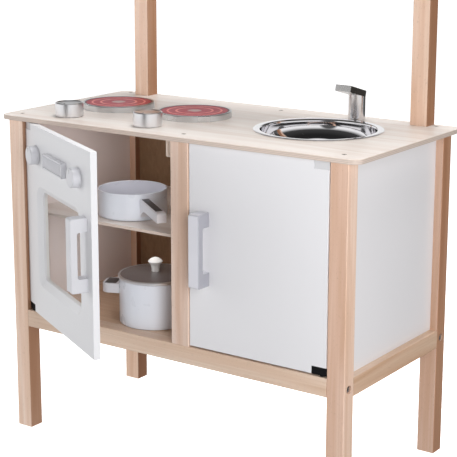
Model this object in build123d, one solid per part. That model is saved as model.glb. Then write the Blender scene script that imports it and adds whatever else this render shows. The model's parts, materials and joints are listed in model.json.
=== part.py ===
"""Toy kitchen: beech legs and rails, birch plywood worktop, white oven and cupboard doors.

Millimetres, +Z up, the doors face -Y.  Everything is first laid out with x = 0 in the middle
of the worktop, y = 0 on the front faces of the legs and z = 0 on the floor.  The last lines
move it along Y, so that the origin lies on the floor under the middle of the whole object as
it stands, with its oven door ajar.
"""
import math
import os

from build123d import *

os.makedirs("parts", exist_ok=True)

# ---------------------------------------------------------------- driving dimensions
# frame
FRAME_W = 683.0                 # over the outer faces of the legs
FRAME_D = 340.0
LEG_W = 31.5                    # leg section, across and deep
LEG_D = 29.0
LEG_H = 563.5                   # floor to the underside of the worktop
MIDDLE_POST_W = 35.0
OVEN_W = 320.5                  # opening between the left leg and the middle post
RAIL_Z = 191.5                  # underside of the rails
RAIL_H = 31.0
EDGE_ROUND = 1.5                # broken edges of the beech
PANEL_T = 4.0                   # painted hardboard panels
GROOVE = 7.0                    # depth of the grooves that hold them
CLEAT = 12.0

# worktop and what stands on it
TOP_W = 720.0
TOP_T = 8.0
TOP_OVER_FRONT = 4.5
TOP_OVER_BACK = 3.5
TOP_CORNER = 18.0
POST_INSET = 32.5               # from the outer face of the frame to the upper post
POST_TOP = 1000.0
SHELF_T = 5.0
OVEN_SHELF_Z = 395.0
OVEN_SHELF_SETBACK = 25.0

# doors
DOOR_T = 11.0
DOOR_RECESS = 1.5               # behind the front of the legs
DOOR_GAP_TOP = 1.0
DOOR_GAP_BOTTOM = 2.5
DOOR_GAP_HINGE = 2.0
DOOR_GAP_FREE = 1.5
PIN_INSET = 9.0                 # hinge pin axis from the hinge edge of the door
PIN_R = 2.5
PIN_CLEARANCE = 0.05
HINGE_W = 27.0                  # a hinge block fills a notch in the corner of its door
HINGE_H = 13.0
HINGE_SET = 1.0                 # behind the front of the door
OVEN_REST_ANGLE = 29.0          # the oven door stands ajar

# gaps between pieces that move against each other
REST_GAP = 0.3
TURN_GAP = 0.4

# ---------------------------------------------------------------- derived places
LEFT = -FRAME_W / 2
RIGHT = FRAME_W / 2
RAIL_TOP = RAIL_Z + RAIL_H
WORKTOP_Z = LEG_H + TOP_T
MID_LEFT = LEFT + LEG_W + OVEN_W
MID_RIGHT = MID_LEFT + MIDDLE_POST_W
MID_X = (MID_LEFT + MID_RIGHT) / 2
INNER_LEFT = LEFT + LEG_W
INNER_RIGHT = RIGHT - LEG_W
INNER_FRONT = LEG_D
INNER_BACK = FRAME_D - LEG_D
BACK_PANEL_Y = FRAME_D - LEG_D / 2 - PANEL_T / 2
SIDE_PANEL_INSET = (LEG_W - PANEL_T) / 2
DOOR_BACK = DOOR_RECESS + DOOR_T
DOOR_Z0 = RAIL_TOP + DOOR_GAP_BOTTOM
DOOR_Z1 = LEG_H - DOOR_GAP_TOP
PIN_Y = DOOR_RECESS + DOOR_T / 2
OVEN_DOOR_X0 = INNER_LEFT + DOOR_GAP_HINGE
OVEN_DOOR_X1 = MID_LEFT - DOOR_GAP_FREE
OVEN_PIN_X = OVEN_DOOR_X0 + PIN_INSET
CUPBOARD_DOOR_X0 = MID_RIGHT + DOOR_GAP_FREE
CUPBOARD_DOOR_X1 = INNER_RIGHT - DOOR_GAP_HINGE
CUPBOARD_PIN_X = CUPBOARD_DOOR_X1 - PIN_INSET

parts = {}


# ---------------------------------------------------------------- helpers
def block(x0, x1, y0, y1, z0, z1):
    """A box between two corners."""
    middle = Pos((x0 + x1) / 2, (y0 + y1) / 2, (z0 + z1) / 2)
    return middle * Box(x1 - x0, y1 - y0, z1 - z0)


def post(x, y, z0, z1, radius):
    """A round bar along Z."""
    return Pos(x, y, (z0 + z1) / 2) * Cylinder(radius, z1 - z0)


def bar_y(x, z, y0, y1, radius):
    """A round bar along Y."""
    return Pos(x, (y0 + y1) / 2, z) * Rot(90, 0, 0) * Cylinder(radius, y1 - y0)


def bar_x(y, z, x0, x1, radius):
    """A round bar along X."""
    return Pos((x0 + x1) / 2, y, z) * Rot(0, 90, 0) * Cylinder(radius, x1 - x0)


def rounded(shape, axis, radius):
    """The shape with its edges along one axis rounded."""
    return fillet(shape.edges().filter_by(axis), radius)


def facing_front(x, y, z):
    """A sketch plane that looks out of the front: its x is +X and its y is +Z."""
    return Plane(origin=(x, y, z), x_dir=(1, 0, 0), z_dir=(0, -1, 0))


def window_slab(x, z, width, height, corner, y0, y1):
    """A rounded rectangle in the plane of a door, between two depths."""
    outline = facing_front(x, y1, z) * RectangleRounded(width, height, corner)
    return extrude(outline, amount=y1 - y0)


# ---------------------------------------------------------------- frame
def make_legs():
    corners = {
        "leg_front_left": (LEFT, 0, LEFT + LEG_W / 2, 1),
        "leg_front_right": (RIGHT - LEG_W, 0, RIGHT - LEG_W / 2, 1),
        "leg_rear_left": (LEFT, INNER_BACK, LEFT + LEG_W / 2, -1),
        "leg_rear_right": (RIGHT - LEG_W, INNER_BACK, RIGHT - LEG_W / 2, -1),
    }
    for name, (x0, y0, middle_x, inward) in corners.items():
        leg = rounded(block(x0, x0 + LEG_W, y0, y0 + LEG_D, 0, LEG_H), Axis.Z, EDGE_ROUND)
        inner_y = y0 + LEG_D if inward > 0 else y0
        leg -= block(middle_x - PANEL_T / 2, middle_x + PANEL_T / 2,
                     min(inner_y, inner_y - inward * GROOVE), max(inner_y, inner_y - inward * GROOVE),
                     RAIL_TOP - GROOVE, LEG_H)
        if inward < 0:
            side = 1 if x0 < 0 else -1
            inner_x = x0 + LEG_W if side > 0 else x0
            leg -= block(min(inner_x, inner_x - side * GROOVE), max(inner_x, inner_x - side * GROOVE),
                         BACK_PANEL_Y, BACK_PANEL_Y + PANEL_T, RAIL_TOP - GROOVE, LEG_H)
        leg -= bolt_hole(x0 < 0, y0 + LEG_D / 2)
        parts[name] = leg


def make_posts():
    front = rounded(block(MID_LEFT, MID_RIGHT, 0, LEG_D, RAIL_TOP, LEG_H), Axis.Z, EDGE_ROUND)
    front -= block(MID_X - PANEL_T / 2, MID_X + PANEL_T / 2, LEG_D - GROOVE, LEG_D, RAIL_TOP, LEG_H)
    parts["middle_post"] = front
    depth = LEG_D - CLEAT / 2
    rear = block(MID_LEFT, MID_RIGHT, BACK_PANEL_Y - depth, BACK_PANEL_Y, RAIL_TOP, LEG_H)
    rear = rounded(rear, Axis.Z, EDGE_ROUND)
    rear -= block(MID_X - PANEL_T / 2, MID_X + PANEL_T / 2, BACK_PANEL_Y - depth,
                  BACK_PANEL_Y - depth + GROOVE, RAIL_TOP, LEG_H)
    parts["rear_middle_post"] = rear


BOLT_Z = RAIL_Z + RAIL_H / 2
BOLT_R = 3.0
BOLT_HEAD_R = 5.6
BOLT_HEAD_T = 4.0
BOLT_SINK_R = 6.8
BOLT_SINK = 6.0
BOLT_LENGTH = 62.0
NUT_R = 5.0
NUT_L = 14.0
NUT_INSET = 26.0                # from the end of the rail to the axis of the barrel nut
SOCKET_R = 2.4


def bolt_hole(on_left, y):
    """The clear and sunk holes for a frame bolt, through the whole leg."""
    face = LEFT if on_left else RIGHT
    inward = 1 if on_left else -1
    clear = bar_x(y, BOLT_Z, min(face, face + inward * LEG_W), max(face, face + inward * LEG_W),
                  BOLT_R)
    sunk = bar_x(y, BOLT_Z, min(face, face + inward * BOLT_SINK), max(face, face + inward * BOLT_SINK),
                 BOLT_SINK_R)
    return clear + sunk


def make_bolts():
    """Four socket-head bolts through the legs, each in a barrel nut in the end of a rail."""
    bolts = []
    for face, inward in ((LEFT, 1), (RIGHT, -1)):
        for y in (LEG_D / 2, FRAME_D - LEG_D / 2):
            seat = face + inward * BOLT_SINK
            head_face = seat - inward * BOLT_HEAD_T
            tip = seat + inward * BOLT_LENGTH
            head = bar_x(y, BOLT_Z, min(seat, head_face), max(seat, head_face), BOLT_HEAD_R)
            head = fillet(head.edges().filter_by(lambda e: abs(e.center().X - head_face) < 0.1), 0.8)
            socket_end = head_face + inward * BOLT_HEAD_T * 0.6
            socket = bar_x(y, BOLT_Z, min(head_face, socket_end), max(head_face, socket_end), SOCKET_R)
            shank = bar_x(y, BOLT_Z, min(seat, tip), max(seat, tip), BOLT_R)
            nut_x = face + inward * (LEG_W + NUT_INSET)
            nut = post(nut_x, y, BOLT_Z - NUT_L / 2, BOLT_Z + NUT_L / 2, NUT_R)
            bolts.append(head - socket + shank)
            bolts.append(nut - shank)
    parts["frame_bolts"] = Compound(bolts)


def rail_bores(y):
    """What the bolts and barrel nuts take out of a front or rear rail."""
    cut = None
    for end, inward in ((INNER_LEFT, 1), (INNER_RIGHT, -1)):
        tip = end + inward * (BOLT_SINK + BOLT_LENGTH - LEG_W)
        bore = bar_x(y, BOLT_Z, min(end, tip), max(end, tip), BOLT_R)
        bore += post(end + inward * NUT_INSET, y, RAIL_Z, BOLT_Z + NUT_L / 2, NUT_R)
        cut = bore if cut is None else cut + bore
    return cut


def make_rails():
    for name, y0 in (("rail_front", 0.0), ("rail_rear", INNER_BACK)):
        rail = rounded(block(INNER_LEFT, INNER_RIGHT, y0, y0 + LEG_D, RAIL_Z, RAIL_TOP), Axis.X,
                       EDGE_ROUND)
        rail -= rail_bores(y0 + LEG_D / 2)
        if y0 == 0.0:
            for pin_x in (OVEN_PIN_X, CUPBOARD_PIN_X):
                rail -= post(pin_x, PIN_Y, RAIL_TOP - PIN_SOCKET, RAIL_TOP, PIN_R + PIN_CLEARANCE)
        else:
            rail -= block(INNER_LEFT, INNER_RIGHT, BACK_PANEL_Y, BACK_PANEL_Y + PANEL_T,
                          RAIL_TOP - GROOVE, RAIL_TOP)
        parts[name] = rail
    for name, x0 in (("rail_left", LEFT), ("rail_right", RIGHT - LEG_W)):
        rail = rounded(block(x0, x0 + LEG_W, INNER_FRONT, INNER_BACK, RAIL_Z, RAIL_TOP), Axis.Y,
                       EDGE_ROUND)
        rail -= block(x0 + SIDE_PANEL_INSET, x0 + SIDE_PANEL_INSET + PANEL_T, INNER_FRONT, INNER_BACK,
                      RAIL_TOP - GROOVE, RAIL_TOP)
        parts[name] = rail


def make_panels():
    for name, x0 in (("panel_left", LEFT), ("panel_right", RIGHT - LEG_W)):
        parts[name] = block(x0 + SIDE_PANEL_INSET, x0 + SIDE_PANEL_INSET + PANEL_T,
                            INNER_FRONT - GROOVE, INNER_BACK + GROOVE, RAIL_TOP - GROOVE, LEG_H)
    parts["panel_back"] = block(INNER_LEFT - GROOVE, INNER_RIGHT + GROOVE, BACK_PANEL_Y,
                                BACK_PANEL_Y + PANEL_T, RAIL_TOP - GROOVE, LEG_H)
    rear_post_front = BACK_PANEL_Y - (LEG_D - CLEAT / 2)
    parts["divider"] = block(MID_X - PANEL_T / 2, MID_X + PANEL_T / 2, LEG_D - GROOVE,
                             rear_post_front + GROOVE, RAIL_TOP, LEG_H)


def make_boards():
    """The bottom board lies flush between the rails, the oven shelf on two cleats."""
    parts["bottom_board"] = block(INNER_LEFT, INNER_RIGHT, INNER_FRONT, INNER_BACK,
                                  RAIL_TOP - SHELF_T, RAIL_TOP)
    left = LEFT + SIDE_PANEL_INSET + PANEL_T
    right = MID_X - PANEL_T / 2
    shelf = block(left, right, OVEN_SHELF_SETBACK, BACK_PANEL_Y, OVEN_SHELF_Z, OVEN_SHELF_Z + SHELF_T)
    rear_post_front = BACK_PANEL_Y - (LEG_D - CLEAT / 2)
    for notch in (block(left, INNER_LEFT, 0, INNER_FRONT, OVEN_SHELF_Z, OVEN_SHELF_Z + SHELF_T),
                  block(left, INNER_LEFT, INNER_BACK, FRAME_D, OVEN_SHELF_Z, OVEN_SHELF_Z + SHELF_T),
                  block(MID_LEFT, right, 0, INNER_FRONT, OVEN_SHELF_Z, OVEN_SHELF_Z + SHELF_T),
                  block(MID_LEFT, right, rear_post_front, FRAME_D, OVEN_SHELF_Z,
                        OVEN_SHELF_Z + SHELF_T)):
        shelf -= notch
    parts["oven_shelf"] = shelf
    cleats = [
        block(left, left + CLEAT, INNER_FRONT, INNER_BACK, OVEN_SHELF_Z - CLEAT, OVEN_SHELF_Z),
        block(right - CLEAT, right, INNER_FRONT, rear_post_front, OVEN_SHELF_Z - CLEAT, OVEN_SHELF_Z),
        block(INNER_LEFT, INNER_RIGHT, INNER_FRONT, INNER_FRONT + CLEAT,
              RAIL_TOP - SHELF_T - CLEAT, RAIL_TOP - SHELF_T),
        block(INNER_LEFT, INNER_RIGHT, INNER_BACK - CLEAT, INNER_BACK,
              RAIL_TOP - SHELF_T - CLEAT, RAIL_TOP - SHELF_T),
    ]
    parts["cleats"] = Compound(cleats)


# ---------------------------------------------------------------- worktop
PIN_SOCKET = 5.5                # depth of the hinge pin's socket
SINK_X = 175.5
SINK_Y = 186.0
SINK_RIM_R = 108.0
SINK_CUT_R = 98.5
SINK_BOWL_R = 97.0
SINK_DEPTH = 56.0
SINK_FLOOR_R = 42.0
SHEET = 1.0
FAUCET_X = 175.5
FAUCET_Y = 311.0
SPINDLE_R = 3.0
SPINDLE_CLEARANCE = 0.08
HOB_KNOB_XS = {"left": -246.5, "right": -74.5}
HOB_KNOB_Y = 51.0
SCREW_FROM_LEFT = 9.5           # from the left edge of a leg or post
SCREW_FROM_INSIDE = 4.5
SCREW_R = 4.0
SCREW_SINK = 0.6
SCREW_SHANK_R = 1.8
SCREW_LENGTH = 32.0
POST_BOLT_Y = 317.0
POST_CENTRES = (LEFT + POST_INSET + LEG_W / 2, RIGHT - POST_INSET - LEG_W / 2)


def worktop_screw_places():
    """One screw down into the top of each leg and middle post, beside the panel grooves."""
    places = []
    for left_edge, rear_y in ((LEFT, FRAME_D - LEG_D / 2),
                              (MID_LEFT, BACK_PANEL_Y - LEG_D / 3),
                              (RIGHT - LEG_W, FRAME_D - LEG_D / 2)):
        places.append((left_edge + SCREW_FROM_LEFT, LEG_D - SCREW_FROM_INSIDE))
        places.append((left_edge + SCREW_FROM_LEFT, rear_y))
    return places


def make_worktop():
    depth = TOP_OVER_FRONT + FRAME_D + TOP_OVER_BACK
    middle_y = (FRAME_D + TOP_OVER_BACK - TOP_OVER_FRONT) / 2
    outline = Pos(0, middle_y, LEG_H) * RectangleRounded(TOP_W, depth, TOP_CORNER)
    top = extrude(outline, amount=TOP_T)
    top = fillet(top.faces().sort_by(Axis.Z)[-1].edges(), 1.0)
    top -= post(SINK_X, SINK_Y, LEG_H, WORKTOP_Z, SINK_CUT_R)
    top -= post(FAUCET_X, FAUCET_Y, LEG_H, WORKTOP_Z, SPINDLE_R + SPINDLE_CLEARANCE)
    for knob_x in HOB_KNOB_XS.values():
        top -= post(knob_x, HOB_KNOB_Y, LEG_H, WORKTOP_Z, SPINDLE_R + SPINDLE_CLEARANCE)
    for pin_x in (OVEN_PIN_X, CUPBOARD_PIN_X):
        top -= post(pin_x, PIN_Y, LEG_H, LEG_H + PIN_SOCKET, PIN_R + PIN_CLEARANCE)
    for x, y in worktop_screw_places():
        top -= post(x, y, WORKTOP_Z - SCREW_SINK - 2, WORKTOP_Z, SCREW_R)
        top -= post(x, y, LEG_H, WORKTOP_Z, SCREW_SHANK_R)
    for x in POST_CENTRES:
        top -= post(x, POST_BOLT_Y, LEG_H, WORKTOP_Z, BOLT_R)
    parts["worktop"] = top


def make_screws():
    """Sunk screws in the worktop, and the bolts that hold the upper posts from below."""
    screws = []
    for x, y in worktop_screw_places():
        head_top = WORKTOP_Z - SCREW_SINK
        head = post(x, y, head_top - 2, head_top, SCREW_R)
        head -= post(x, y, head_top - 1, head_top, SCREW_R * 0.4)
        screws.append(head + post(x, y, WORKTOP_Z - SCREW_LENGTH, head_top - 2, SCREW_SHANK_R))
    for x in POST_CENTRES:
        shank = post(x, POST_BOLT_Y, LEG_H, LEG_H + POST_BOLT_LENGTH, BOLT_R)
        screws.append(shank + post(x, POST_BOLT_Y, LEG_H - BOLT_HEAD_T, LEG_H, BOLT_HEAD_R - 1))
    parts["worktop_screws"] = Compound(screws)
    for name in ("leg_front_left", "leg_front_right", "leg_rear_left", "leg_rear_right",
                 "middle_post", "rear_middle_post"):
        for x, y in worktop_screw_places():
            parts[name] -= post(x, y, WORKTOP_Z - SCREW_LENGTH, LEG_H, SCREW_SHANK_R)


# ---------------------------------------------------------------- upper part
POST_BOLT_LENGTH = 50.0
CROSSRAIL_H = 31.0
CROSSRAIL_T = 20.0
TOP_SHELF_D = 130.0
UTENSIL_BAR_Z = 850.0
UTENSIL_BAR_R = 6.0
UTENSIL_BAR_HOLD = 12.0         # how far its ends go into the posts


def make_upper_part():
    y0 = FRAME_D - LEG_D
    for name, x in zip(("upper_post_left", "upper_post_right"), POST_CENTRES):
        upright = block(x - LEG_W / 2, x + LEG_W / 2, y0, y0 + LEG_D, WORKTOP_Z, POST_TOP)
        upright = rounded(upright, Axis.Z, EDGE_ROUND)
        upright -= post(x, POST_BOLT_Y, WORKTOP_Z, LEG_H + POST_BOLT_LENGTH, BOLT_R)
        inward = 1 if x < 0 else -1
        face = x + inward * LEG_W / 2
        end = face - inward * UTENSIL_BAR_HOLD
        upright -= bar_x(y0 + LEG_D / 2, UTENSIL_BAR_Z, min(face, end), max(face, end), UTENSIL_BAR_R)
        parts[name] = upright
    left_face = POST_CENTRES[0] + LEG_W / 2
    right_face = POST_CENTRES[1] - LEG_W / 2
    rail_y = y0 + (LEG_D - CROSSRAIL_T) / 2
    crossrail = block(left_face, right_face, rail_y, rail_y + CROSSRAIL_T, POST_TOP - CROSSRAIL_H, POST_TOP)
    parts["upper_crossrail"] = rounded(crossrail, Axis.X, EDGE_ROUND)
    parts["utensil_bar"] = bar_x(y0 + LEG_D / 2, UTENSIL_BAR_Z, left_face - UTENSIL_BAR_HOLD,
                                 right_face + UTENSIL_BAR_HOLD, UTENSIL_BAR_R)
    shelf_y = FRAME_D + TOP_OVER_BACK - TOP_SHELF_D / 2
    outline = Pos(0, shelf_y, POST_TOP) * RectangleRounded(FRAME_W - POST_INSET, TOP_SHELF_D, TOP_CORNER / 2)
    parts["upper_shelf"] = extrude(outline, amount=TOP_T)


# ---------------------------------------------------------------- hob
HOTPLATE_XS = {"left": -236.5, "right": -67.5}
HOTPLATE_Y = 173.0
HOTPLATE_R = 64.5
HOTPLATE_H = 10.5
HOTPLATE_TOP_R = 60.5
HOTPLATE_TOP_T = 2.5
HOB_KNOB_R = 24.5
HOB_KNOB_H = 24.0
WASHER_R = 6.5
WASHER_T = 1.5


def make_hotplates():
    for side, x in HOTPLATE_XS.items():
        ring = post(x, HOTPLATE_Y, WORKTOP_Z, WORKTOP_Z + HOTPLATE_H, HOTPLATE_R)
        ring = fillet(ring.faces().sort_by(Axis.Z)[-1].edges(), 1.2)
        seat = WORKTOP_Z + HOTPLATE_H - HOTPLATE_TOP_T
        ring -= post(x, HOTPLATE_Y, seat, WORKTOP_Z + HOTPLATE_H, HOTPLATE_TOP_R)
        parts[f"hotplate_{side}_base"] = ring
        top = post(x, HOTPLATE_Y, seat, WORKTOP_Z + HOTPLATE_H - REST_GAP, HOTPLATE_TOP_R)
        parts[f"hotplate_{side}_top"] = top


def spindle_along_z(x, y, knob_z, reach):
    """A knob's shaft down through the worktop, with its washer underneath."""
    shaft = post(x, y, LEG_H - TURN_GAP, knob_z + reach, SPINDLE_R)
    return shaft + post(x, y, LEG_H - TURN_GAP - WASHER_T, LEG_H - TURN_GAP, WASHER_R)


def make_hob_knobs():
    knob_z = WORKTOP_Z + TURN_GAP
    reach = HOB_KNOB_H / 2
    for side, x in HOB_KNOB_XS.items():
        knob = post(x, HOB_KNOB_Y, knob_z, knob_z + HOB_KNOB_H, HOB_KNOB_R)
        knob = fillet(knob.faces().sort_by(Axis.Z)[-1].edges(), 1.5)
        knob = fillet(knob.faces().sort_by(Axis.Z)[0].edges(), 1.0)
        mark = block(x - 1, x + 1, HOB_KNOB_Y - HOB_KNOB_R + 3, HOB_KNOB_Y - HOB_KNOB_R / 2,
                     knob_z + HOB_KNOB_H - 0.8, knob_z + HOB_KNOB_H)
        knob -= mark
        knob -= post(x, HOB_KNOB_Y, knob_z, knob_z + reach, SPINDLE_R)
        parts[f"hob_knob_{side}"] = knob
        parts[f"hob_spindle_{side}"] = spindle_along_z(x, HOB_KNOB_Y, knob_z, reach)


# ---------------------------------------------------------------- sink and tap
COLUMN_R = 14.8
COLUMN_TOP = 611.5              # on its axis, at the underside of the spout
SPOUT_SLOPE = 15.5
SPOUT_T = 11.0
SPOUT_REACH = 51.0              # from the axis of the column to the square end


def bowl_of_revolution(rim_r, floor_r, top, floor):
    """A dish: a domed wall from the rim to a flat round floor."""
    belly = (rim_r - (rim_r - floor_r) * 0.22, top - (top - floor) * 0.66)
    wall = ThreePointArc((rim_r, top), belly, (floor_r, floor))
    outline = Polyline((floor_r, floor), (0, floor), (0, top), (rim_r, top))
    profile = make_face(Curve() + [wall, outline])
    return revolve(Plane.XZ * profile, Axis.Z)


def make_sink():
    rim_z = REST_GAP
    outer = bowl_of_revolution(SINK_BOWL_R, SINK_FLOOR_R, rim_z, rim_z - SINK_DEPTH)
    flange = Pos(0, 0, rim_z + SHEET / 2) * Cylinder(SINK_RIM_R, SHEET)
    flange = fillet(flange.faces().sort_by(Axis.Z)[-1].edges(), SHEET * 0.45)
    inner = bowl_of_revolution(SINK_BOWL_R - SHEET, SINK_FLOOR_R, rim_z + SHEET,
                               rim_z - SINK_DEPTH + SHEET)
    parts["sink_bowl"] = Pos(SINK_X, SINK_Y, WORKTOP_Z) * (outer + flange - inner)


def make_faucet():
    """A round column with its own shank and washer, cut on the slant under a flat spout."""
    column = Pos(0, 0, COLUMN_TOP / 2) * Cylinder(COLUMN_R, COLUMN_TOP * 2)
    low = WORKTOP_Z + TURN_GAP
    column &= block(-COLUMN_R, COLUMN_R, -COLUMN_R, COLUMN_R, low, COLUMN_TOP + COLUMN_R)
    slanted = Pos(0, 0, COLUMN_TOP) * Rot(-SPOUT_SLOPE, 0, 0)
    column -= slanted * Pos(0, 0, COLUMN_R * 2) * Box(COLUMN_R * 6, COLUMN_R * 6, COLUMN_R * 4)
    column += post(0, 0, LEG_H - TURN_GAP, low, SPINDLE_R)
    column += post(0, 0, LEG_H - TURN_GAP - WASHER_T, LEG_H - TURN_GAP, WASHER_R)
    plan = Pos(0, -SPOUT_REACH / 2) * Rectangle(COLUMN_R * 2, SPOUT_REACH) + Circle(COLUMN_R)
    spout = extrude(plan, amount=SPOUT_T)
    spout = chamfer(spout.faces().sort_by(Axis.Z)[-1].edges(), 0.5)
    place = Pos(FAUCET_X, FAUCET_Y, 0)
    parts["faucet_column"] = place * column
    parts["faucet_spout"] = place * slanted * spout


# ---------------------------------------------------------------- doors
HANDLE_W = 21.0
HANDLE_H = 122.0
HANDLE_REACH = 29.0
HANDLE_BAR_T = 11.5
HANDLE_FOOT = 23.0
HANDLE_Z = 393.5
HANDLE_INSET = 29.0             # from the free edge of the door to the middle of the handle
WINDOW_Z = 370.5
WINDOW_W = 190.0
WINDOW_H = 157.0
WINDOW_CORNER = 12.0
BEVEL_W = 11.0
BEVEL_D = 7.5
PANE_T = 1.5
PANE_LAP = 6.0                  # how far the pane reaches past the hole
RETAINER_W = 14.0
RETAINER_T = 6.0
OVEN_KNOB_R = 17.0
OVEN_KNOB_H = 15.0
OVEN_KNOB_SPREAD = 102.5        # from the middle of the door to a knob
CONTROLS_Z = 512.3
CLOCK_W = 95.0
CLOCK_H = 25.5
CLOCK_T = 9.0
STRIKE_W = 14.0
STRIKE_H = 22.0
CATCH_W = 19.0
CATCH_D = 24.0
CATCH_DROP = 3.0                # from the worktop to the top of its case
CATCH_H = 28.0
COLLAR_R = 4.5


def bow_handle(x, door_front):
    """A flat bar on two feet, with a finger gap behind it."""
    z0 = HANDLE_Z - HANDLE_H / 2
    z1 = HANDLE_Z + HANDLE_H / 2
    front = door_front - HANDLE_REACH
    body = block(x - HANDLE_W / 2, x + HANDLE_W / 2, front, door_front, z0, z1)
    gap = block(x - HANDLE_W, x + HANDLE_W, front + HANDLE_BAR_T, door_front + 1,
                z0 + HANDLE_FOOT, z1 - HANDLE_FOOT)
    gap_corners = gap.edges().filter_by(Axis.X).filter_by(lambda e: e.center().Y < door_front)
    body -= fillet(gap_corners, 4.0)
    front_corners = body.edges().filter_by(Axis.X).filter_by(lambda e: e.center().Y < front + 0.1)
    body = fillet(front_corners, 4.0)
    return chamfer(body.faces().sort_by(Axis.Y)[0].edges(), 1.2)


def hinge_corner(x0, at_top, front):
    """The corner of a door at its hinge, from a given depth to the back of the door."""
    z0 = DOOR_Z1 - HINGE_H if at_top else DOOR_Z0
    return block(x0, x0 + HINGE_W, front, DOOR_BACK, z0, z0 + HINGE_H)


def hinge_block(pin_x, x0, at_top):
    """The block in the corner of a door, with the pin that turns in the worktop or the rail."""
    solid = hinge_corner(x0, at_top, DOOR_RECESS + HINGE_SET)
    if at_top:
        return solid + post(pin_x, PIN_Y, DOOR_Z1, LEG_H + PIN_SOCKET - TURN_GAP, PIN_R)
    solid += post(pin_x, PIN_Y, RAIL_TOP + REST_GAP, DOOR_Z0, COLLAR_R)
    return solid + post(pin_x, PIN_Y, RAIL_TOP - PIN_SOCKET + TURN_GAP, RAIL_TOP + REST_GAP, PIN_R)


def strike_plate(x0, x1):
    """The thin steel plate that the magnet holds, on the back of a door."""
    z1 = LEG_H - CATCH_DROP - 3
    plate = block(x0, x1, DOOR_BACK, DOOR_BACK + SHEET, z1 - STRIKE_H, z1)
    return rounded(plate, Axis.Y, 2.0)


def magnet_catch(x0, x1):
    """A plastic case beside the middle post, with its magnet just behind the strike plate."""
    front = DOOR_BACK + SHEET + TURN_GAP
    z1 = LEG_H - CATCH_DROP
    case = rounded(block(x0, x1, front, front + CATCH_D, z1 - CATCH_H, z1), Axis.Y, 3.0)
    recess = block(x0 + 4, x1 - 4, front, front + 1.0, z1 - CATCH_H + 4, z1 - 4)
    return case - recess


def door_panel(x0, x1, hinge_x0):
    """A door with eased front edges and a notch for each hinge block."""
    door = block(x0, x1, DOOR_RECESS, DOOR_BACK, DOOR_Z0, DOOR_Z1)
    door = fillet(door.faces().sort_by(Axis.Y)[0].edges(), 1.0)
    for at_top in (True, False):
        door -= hinge_corner(hinge_x0, at_top, DOOR_RECESS)
    return door


def make_cupboard_door():
    x0, x1 = CUPBOARD_DOOR_X0, CUPBOARD_DOOR_X1
    hinge_x0 = x1 - HINGE_W
    parts["cupboard_door"] = door_panel(x0, x1, hinge_x0)
    parts["cupboard_handle"] = bow_handle(x0 + HANDLE_INSET, DOOR_RECESS)
    parts["cupboard_hinge_top"] = hinge_block(CUPBOARD_PIN_X, hinge_x0, True)
    parts["cupboard_hinge_bottom"] = hinge_block(CUPBOARD_PIN_X, hinge_x0, False)
    parts["cupboard_strike"] = strike_plate(x0 + 2, x0 + 2 + STRIKE_W)


def oven_knob(x, side):
    """A round knob, and the shaft that runs through the door to a washer inside."""
    back = DOOR_RECESS - TURN_GAP
    front = back - OVEN_KNOB_H
    knob = bar_y(x, CONTROLS_Z, front, back, OVEN_KNOB_R)
    knob = fillet(knob.faces().sort_by(Axis.Y)[0].edges(), 2.0)
    knob -= block(x - 1, x + 1, front, front + 0.8, CONTROLS_Z + OVEN_KNOB_R / 2,
                  CONTROLS_Z + OVEN_KNOB_R - 3)
    knob -= bar_y(x, CONTROLS_Z, back - OVEN_KNOB_H / 2, back, SPINDLE_R)
    washer_y = DOOR_BACK + TURN_GAP
    shaft = bar_y(x, CONTROLS_Z, back - OVEN_KNOB_H / 2, washer_y, SPINDLE_R)
    shaft += bar_y(x, CONTROLS_Z, washer_y, washer_y + WASHER_T, WASHER_R)
    parts[f"oven_knob_{side}"] = ajar(knob)
    parts[f"oven_spindle_{side}"] = ajar(shaft)


def ajar(shape):
    """Turns a piece of the closed oven door to where the door stands at rest."""
    return Pos(OVEN_PIN_X, PIN_Y, 0) * Rot(0, 0, -OVEN_REST_ANGLE) * Pos(-OVEN_PIN_X, -PIN_Y, 0) * shape


def window_layer(x, margin, y0, y1):
    """The shape of the window, grown by a margin all round, between two depths."""
    return window_slab(x, WINDOW_Z, WINDOW_W + 2 * margin, WINDOW_H + 2 * margin,
                       WINDOW_CORNER + margin, y0, y1)


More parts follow.
